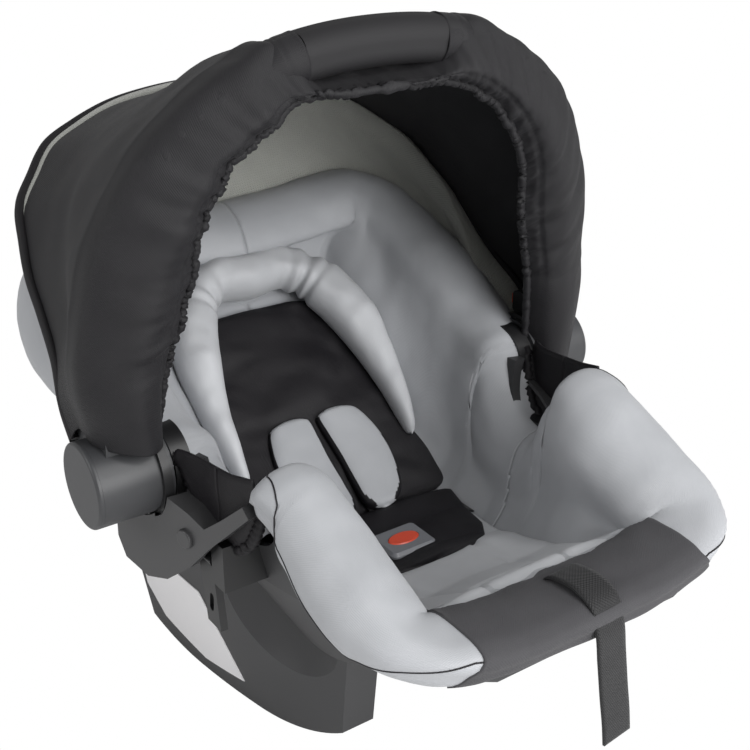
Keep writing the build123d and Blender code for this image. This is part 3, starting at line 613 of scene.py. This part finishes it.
floor_h = np.array([236, 236, 187, 152, 140, 158, 212, 268, 314, 352.0])
inner_y = np.clip(cy * 0.9, -224, 186)
corner_x = np.sign(crest[:, 0]) * np.minimum(np.abs(crest[:, 0]) * 0.62, 96)
low_z = np.interp(inner_y, floor_y, floor_h)
wall = np.stack([corner_x * 1.12, inner_y, low_z + 34 * (1 - ramp(-cy, 176, 244))], axis=1)
corner = np.stack([corner_x * 0.9, inner_y * 0.98,
                   np.interp(inner_y * 0.98, floor_y, floor_h) + 4], axis=1)
spine = np.stack([np.zeros_like(corner_x), inner_y * 0.9,
                  np.interp(inner_y * 0.9, floor_y, floor_h)], axis=1)
controls += [wall, corner, spine]
stack = np.stack(controls, axis=1)
cover = np.stack([spline(section, COVER_COLUMNS) for section in stack])
cover = np.concatenate([cover, cover[:1]], axis=0)
cut_u = unit(np.gradient(cover, axis=0))
cut_v = unit(np.gradient(cover, axis=1))
cover_n = unit(np.cross(cut_u, cut_v))
sample = (150, 16)        # a point near the rim, to turn the normals upwards
if cover_n[sample][2] < 0:
    cover_n = -cover_n
soft = bumps(cover, 60.0, 4) * 2.6 + bumps(cover, 24.0, 8) * 1.0
calm = np.concatenate([1 - 0.85 * notch, [1 - 0.85 * notch[0]]])
cover = cover + cover_n * (soft * calm[:, None])[:, :, None]
notch_loop = np.concatenate([notch, notch[:1]])
crest_loop = np.concatenate([crest, crest[:1]])
chords = np.linalg.norm(np.diff(stack, axis=1), axis=2)
crest_share = chords[:, :4].sum(axis=1) / chords.sum(axis=1)
crest_column = np.round(crest_share * (COVER_COLUMNS - 1)).astype(int)
crest_column = np.concatenate([crest_column, crest_column[:1]])


def cover_kinds(centres, index):
    """1 for the black cloth round the belt notches."""
    row, column = np.divmod(index, COVER_COLUMNS - 1)
    return ((notch_loop[row] > 0.45) & (column < crest_column[row])).astype(int)


SPLIT_Y = -78             # the head part of the cover meets the seat part here
cover_head = grid_object("cover_head", cover, [SATIN, LINING], lambda c: c[:, 1] > SPLIT_Y, cover_kinds)
cover_seat = grid_object("cover_seat", cover, [SATIN, LINING], lambda c: c[:, 1] <= SPLIT_Y, cover_kinds)

# the dark cloth over the foot end lies on the cover and has edges of its own
TOP_COLUMN = 20           # near the top of the rim at the foot end
foot_rows = np.where(cover[:, TOP_COLUMN, 1] < -200)[0]
foot_rows = slice(foot_rows[0], foot_rows[-1] + 1)
foot_part = cover[foot_rows] + cover_n[foot_rows] * 3.0
if foot_part[0, TOP_COLUMN, 0] > foot_part[-1, TOP_COLUMN, 0]:
    foot_part = foot_part[::-1]
across_patch = np.linspace(-1, 1, 121)
patch_columns = []
for j in range(foot_part.shape[1]):
    column = foot_part[:, j]
    limit = 99 + np.clip((238 - column[:, 2]) * 0.75, 0, 17)
    share_x = column[:, 0] / limit
    order = np.argsort(share_x)
    patch_columns.append(np.stack([np.interp(across_patch, share_x[order], column[order, k])
                                   for k in range(3)], axis=1))
patch_grid = np.stack(patch_columns, axis=1)
edge_y = -232 + 3.0 * np.sin(across_patch * 11) + 2.0 * np.sin(across_patch * 23 + 1)
patch_rows = []
for i in range(len(across_patch)):
    line = patch_grid[i]
    inside = np.where(line[:, 1] > edge_y[i])[0]
    inside = inside[inside > TOP_COLUMN]
    last = inside[0] if len(inside) else len(line) - 1
    t = (edge_y[i] - line[last - 1, 1]) / max(line[last, 1] - line[last - 1, 1], 1e-6)
    finish_point = line[last - 1] + (line[last] - line[last - 1]) * np.clip(t, 0, 1)
    patch_rows.append(spline(np.vstack([line[:last], finish_point + np.array([0, 0.8, -1.5])]), 60))
cover_foot = grid_object("foot_patch_cloth", np.stack(patch_rows), [PATCH])
for piece, node, finish in ((cover_head, "seat_cover_head", "grey_fabric"),
                            (cover_seat, "seat_cover_seat", "grey_fabric"),
                            (cover_foot, "foot_patch", "black_fabric")):
    skin(piece, 2.0)
    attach(piece, "seat")
    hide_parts(node)

# seam along the outside of each bolster and a bound edge round each belt notch
for side_name, sign in (("right", 1), ("left", -1)):
    rows_here = np.where((crest_loop[:, 0] * sign > 60) & (crest_loop[:, 1] < -124))[0]
    column = int(np.round(crest_column[rows_here].mean() * 0.55))
    seam_line = np.array([cover[i, column] + cover_n[i, column] * 2.0 for i in rows_here])
    seam = cord_along("bolster_seam_" + side_name, seam_line, 0.6, LINING, 6)
    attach(seam, "seat")
    rows_here = np.where((crest[:, 0] * sign > 100) & (notch > 0.15))[0]
    binding_line = np.array([cover[i, crest_column[i]] for i in rows_here])
    binding = cord_along("notch_binding_" + side_name, binding_line, 4.4, LINING, 12)
    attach(binding, "seat")


# ---------------------------------------------------------------- cushions
BACK_SLOPE = 0.78
BACK_Z = 170.0            # height of the back's plane at the handle axis
BACK_UP = unit(np.array([0.0, -BACK_SLOPE, 1.0]))


def on_back(x, y, lift):
    """Point over the insert's plane."""
    return np.array([x, y, BACK_Z + BACK_SLOPE * y]) + BACK_UP * lift


def fixed(vector, count):
    """The same vector for each point of a path."""
    return np.tile(np.asarray(vector, float), (count, 1))


count = 70
path = spline([on_back(0, -16, -3), on_back(0, 60, -3), on_back(0, 160, -3)], count)
insert_half = np.interp(path[:, 1], [-14, 0, 30, 60, 150], [102, 101, 95, 84, 72])
insert_back = soft_bar("insert_back_cloth", path, fixed((1, 0, 0), count), fixed(BACK_UP, count),
                       insert_half, np.full(count, 19.0), [LINING], 3.2, 72, (16, 14), 4.5, 2)
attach(insert_back, "seat")
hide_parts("insert_back")

seat_y = np.array([-232, -200, -160, -114, -96, -50, -13.0])
seat_z = np.array([233, 203, 178, 166, 159, 155, 160.0])
xs = np.linspace(-96, 96, 65)
ys = np.linspace(-236, -12, 70)
gx, gy = np.meshgrid(xs, ys, indexing="ij")
gz = np.interp(gy, seat_y, seat_z) + 2.0
edge = np.maximum(np.abs(gx) / 96, np.abs((gy + 124) / 112) ** 3)
gz = gz + 5.0 * (1 - edge ** 4) - 12 * ramp(-gy, 214, 234) - 9 * ramp(np.abs(gx), 82, 96)
groove = (np.exp(-((np.abs(gx) - 34 - (gy + 232) * 0.10) / 3.0) ** 2)
          + np.exp(-((gy + 206 - 8 * np.cos(gx / 30)) / 3.0) ** 2))
gz = gz - 3.0 * np.clip(groove, 0, 1)
cushion = np.stack([gx, gy, gz], axis=2)
cushion[:, :, 2] += bumps(cushion, 40.0, 12) * 2.5
# the cushion takes the lighter copy of the satin, painted light
cushion_object = grid_object("seat_cushion_cloth", cushion, [LIT_SATIN])
skin(cushion_object, 3.0)
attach(cushion_object, "seat")
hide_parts("seat_cushion")

count = 40
lap_y = np.linspace(-112, -16, count)
lap = np.stack([np.zeros(count), lap_y, np.interp(lap_y, seat_y, seat_z) + 6.5], axis=1)
lap_t = unit(np.gradient(lap, axis=0))
lap_up = unit(np.cross(fixed((1, 0, 0), count), lap_t))
lap_half = np.interp(lap_y, [-112, -98, -83, -50, -16], [54, 66, 76, 84, 90])
insert_seat = soft_bar("insert_seat_cloth", lap, fixed((1, 0, 0), count), lap_up, lap_half,
                       np.full(count, 13.0), [LINING], 3.0, 56, (14, 10), 3.0, 6)
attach(insert_seat, "seat")
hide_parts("insert_seat")

count = 190
hug_plan = [(84, 31, 4), (85, 48, 7), (86, 68, 10), (85, 92, 14), (81, 120, 19), (72, 147, 22),
            (57, 167, 21), (32, 179, 19), (0, 177, 19)]
hug_full = spline([(-x, y, h) for x, y, h in hug_plan] + hug_plan[-2::-1], count)
hug_thick = np.interp(hug_full[:, 2], [4, 10, 19], [12, 28, 44])
hug_path = np.array([on_back(x, y, 2 + thick * 0.42)
                     for (x, y, _), thick in zip(hug_full, hug_thick)])
hug_t = unit(np.gradient(hug_path, axis=0))
hug_side = unit(np.cross(fixed(BACK_UP, count), hug_t))
hug_reach = path_lengths(hug_path)
hug_mid = hug_reach[-1] / 2
pinch = sum(depth * np.exp(-((np.abs(hug_reach - hug_mid) - place) / width) ** 2)
            for depth, place, width in ((0.20, 58, 5.0), (0.14, 72, 4.0), (0.10, 40, 6.0)))
# the hugger takes the lighter copy of the satin, painted light
hugger = soft_bar("head_hugger_cloth", hug_path, hug_side, fixed(BACK_UP, count),
                  hug_full[:, 2] * (1 - pinch), hug_thick * (1 - 0.8 * pinch),
                  [LIT_SATIN], 2.3, 44, (10, 10), 5.0, 14)
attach(hugger, "seat")
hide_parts("head_hugger")


# ---------------------------------------------------------------- harness
PAD_SLOPE = 0.669
PAD_Z = 181.4             # height of the pads' plane at the handle axis
PAD_UP = unit(np.array([0.0, -PAD_SLOPE, 1.0]))
count = 60
outline = spline([(21, 64, 12), (23, 60, 19), (27, 44, 24), (29, 27, 25), (27, 3, 23.5),
                  (24, -12, 19.5), (21, -22, 11)], count)
for side_name, sign in (("right", 1), ("left", -1)):
    pad_x = outline[:, 0] * sign
    pad_y = outline[:, 1]
    pad_half = outline[:, 2]
    pad_path = np.stack([pad_x, pad_y, PAD_Z + PAD_SLOPE * pad_y + 3.0], axis=1)

    def pad_kinds(c, x=pad_x, y=pad_y, half=pad_half):
        """1 for the black border round the grey face."""
        middle = np.interp(c[:, 1], y[::-1], x[::-1])
        wide = np.interp(c[:, 1], y[::-1], half[::-1])
        above = c[:, 2] > PAD_Z + PAD_SLOPE * c[:, 1] + 4
        return np.where((np.abs(c[:, 0] - middle) < wide - 2.2) & above, 0, 1)

    pad = soft_bar("shoulder_pad_cloth_" + side_name, pad_path, fixed((1, 0, 0), count),
                   fixed(PAD_UP, count), pad_half, np.full(count, 15.0), [SATIN, LINING],
                   2.6, 48, (7, 7), 1.2, 20 + sign, pad_kinds)
    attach(pad, "seat")
    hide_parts("shoulder_pad_" + side_name)


WEB_POINTS = 9            # across each strap
tail_line = spline([(0, -246, 228), (0, -252, 241), (0, -262, 244.5), (0, -281, 245.5),
                    (0.5, -293, 240), (1.5, -299, 224), (4, -301, 200), (7, -303, 172),
                    (10, -305, 146), (11, -306, 132)], 90)
tail_t = unit(np.gradient(tail_line, axis=0))
tail_way = np.array([1.0, 0.06, 0.0])
tail_side = unit(tail_way - tail_t * (tail_t @ tail_way)[:, None])
across = np.linspace(-13, 13, WEB_POINTS)
tail = tail_line[:, None] + tail_side[:, None] * across[None, :, None]
strap_tail = grid_object("strap_tail", tail, [WEBBING])
skin(strap_tail, 1.8, 0)
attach(strap_tail, "seat")
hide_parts("adjuster_strap")


def webbing(name, line, across, node):
    """A flat strap 28 mm wide and 1.6 mm thick along a line."""
    line = spline(line, 40)
    steps = np.linspace(-14, 14, WEB_POINTS)[None, :, None]
    strap = grid_object(name, line[:, None] + np.asarray(across, float) * steps, [WEBBING])
    skin(strap, 1.6, 0)
    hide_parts(node)
    return strap


for side_name, sign in (("right", 1), ("left", -1)):
    over_line = [(22 * sign, y, z) for y, z in ((65.9, 225.5), (20, 194.8), (-22, 166.9), (-34, 168.0),
                                                (-40.1, 167.5))]
    over = webbing("shoulder_webbing_" + side_name, over_line, (1, 0, 0), "shoulder_strap_" + side_name)
    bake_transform(over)
    hip_line = [(x * sign, -41, z) for x, z in ((9, 160.6), (30, 160.4), (52, 160.6), (78, 163),
                                                (90, 158))]
    hip = webbing("hip_webbing_" + side_name, hip_line, (0, 1, 0), "hip_strap_" + side_name)
    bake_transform(hip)
crotch_line = [(0, -74, z) for z in (115.6, 130, 146, 161.2)]
crotch = webbing("crotch_webbing", crotch_line, (1, 0, 0), "crotch_strap")
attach(crotch, "seat")


# ---------------------------------------------------------------- floor, light and camera
FLOOR_HALF = 6            # metres
FLOOR_Z = -0.0005
floor_mesh = bpy.data.meshes.new("floor")
floor_corners = [(FLOOR_HALF * x, FLOOR_HALF * y, FLOOR_Z) for x, y in ((-1, -1), (1, -1), (1, 1), (-1, 1))]
floor_mesh.from_pydata(floor_corners, [], [(0, 1, 2, 3)])
floor = bpy.data.objects.new("floor", floor_mesh)
bpy.context.scene.collection.objects.link(floor)
material, tree, shader = nodes_of("studio floor")
shader.inputs["Base Color"].default_value = (0.85, 0.85, 0.85, 1)
shader.inputs["Roughness"].default_value = 0.9
glow = tree.nodes.new("ShaderNodeEmission")
glow.inputs["Color"].default_value = (1, 1, 1, 1)
glow.inputs["Strength"].default_value = 1.0
path_node = tree.nodes.new("ShaderNodeLightPath")
choose = tree.nodes.new("ShaderNodeMixShader")
tree.links.new(path_node.outputs["Is Camera Ray"], choose.inputs[0])
tree.links.new(shader.outputs[0], choose.inputs[1])
tree.links.new(glow.outputs[0], choose.inputs[2])
tree.links.new(choose.outputs[0], tree.nodes["Material Output"].inputs["Surface"])
floor_mesh.materials.append(material)

world = bpy.data.worlds.new("studio")
bpy.context.scene.world = world
world.use_nodes = True
wt = world.node_tree
background = wt.nodes["Background"]
background.inputs["Color"].default_value = (1, 1, 1, 1)
background.inputs["Strength"].default_value = 0.40
bright = wt.nodes.new("ShaderNodeBackground")
bright.inputs["Strength"].default_value = 1.0
ray = wt.nodes.new("ShaderNodeLightPath")
either = wt.nodes.new("ShaderNodeMixShader")
wt.links.new(ray.outputs["Is Camera Ray"], either.inputs[0])
wt.links.new(background.outputs[0], either.inputs[1])
wt.links.new(bright.outputs[0], either.inputs[2])
wt.links.new(either.outputs[0], wt.nodes["World Output"].inputs["Surface"])


def lamp(name, place, target, size, power):
    """Square lamp that faces its target, in metres and watts."""
    data = bpy.data.lights.new(name, "AREA")
    data.size = size
    data.energy = power
    obj = bpy.data.objects.new(name, data)
    obj.location = place
    obj.rotation_euler = (Vector(target) - Vector(place)).to_track_quat("-Z", "Y").to_euler()
    bpy.context.scene.collection.objects.link(obj)


lamp("key", (0.5, -1.5, 2.1), (0, 0, 0.25), 1.0, 16)
lamp("front", (0.2, -2.2, 0.95), (0, 0.1, 0.35), 1.2, 40)
lamp("left", (-2.0, 0.2, 1.3), (0, 0, 0.3), 1.0, 13)
lamp("right", (1.9, -1.5, 0.9), (0, 0, 0.3), 1.2, 9)

camera_data = bpy.data.cameras.new("camera")
camera_data.lens = 59.37
camera_data.sensor_width = 36.0
camera = bpy.data.objects.new("camera", camera_data)
turn = math.radians(-35.07)
rise = math.radians(25.01)
back = Vector((math.sin(turn) * math.cos(rise), -math.cos(turn) * math.cos(rise), math.sin(rise)))
right = Vector((math.cos(turn), math.sin(turn), 0))
upward = back.cross(right)
stands_at = (-0.5028, -0.7296, 0.7119)
camera.matrix_world = Matrix([(right[k], upward[k], back[k], stands_at[k]) for k in range(3)]
                             + [(0, 0, 0, 1)])
bpy.context.scene.collection.objects.link(camera)
bpy.context.scene.camera = camera
scene = bpy.context.scene
scene.render.resolution_x = 750
scene.render.resolution_y = 750
scene.view_settings.view_transform = "Standard"

bpy.context.view_layer.update()
